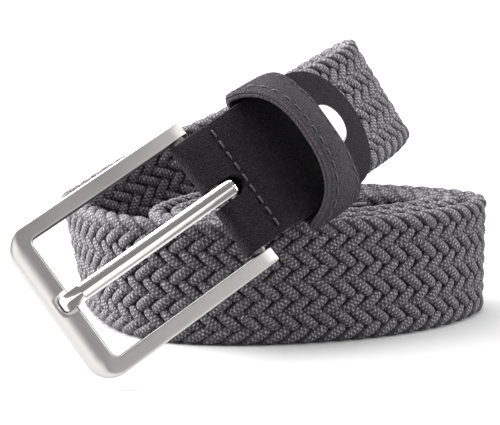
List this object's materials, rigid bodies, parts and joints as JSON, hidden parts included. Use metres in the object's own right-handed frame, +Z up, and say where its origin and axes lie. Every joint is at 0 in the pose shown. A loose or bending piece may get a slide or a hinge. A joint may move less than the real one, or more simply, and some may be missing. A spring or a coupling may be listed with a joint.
{
  "type": "woven belt",
  "caption": "Elastic woven belt rolled up on its edge, with a leather buckle end, arched keeper and rectangular pin buckle.",
  "frame": {"origin": "centre of the object's box, on the floor", "axes": "+X to the right along the roll's front, +Y away from the viewer, +Z up"},
  "size_m": [0.1311, 0.123, 0.0806],
  "materials": {
    "braid": "heather grey cord braid",
    "leather": "dark charcoal, fine grain, painted edges",
    "satin_nickel": "satin nickel plate",
    "polished_nickel": "polished nickel plate"
  },
  "bodies": {
    "belt": {"woven_strap": "braid", "leather_end": "leather", "keeper_loop": "leather", "snap_cap": "polished_nickel", "tip_fold": "leather"},
    "buckle": {"buckle_frame": "satin_nickel"},
    "prong": {"buckle_prong": "polished_nickel"}
  },
  "joints": [
    {"name": "buckle_swing", "type": "hinge", "parent": "belt", "child": "buckle", "pos_m": [-0.01298, -0.03407, 0.04445], "axis": [-0.594, 0.189, 0.782], "range_deg": [-2, 45]},
    {"name": "prong_swing", "type": "hinge", "parent": "buckle", "child": "prong", "pos_m": [-0.01298, -0.03407, 0.04445], "axis": [-0.594, 0.189, 0.782], "range_deg": [0, 62]}
  ]
}
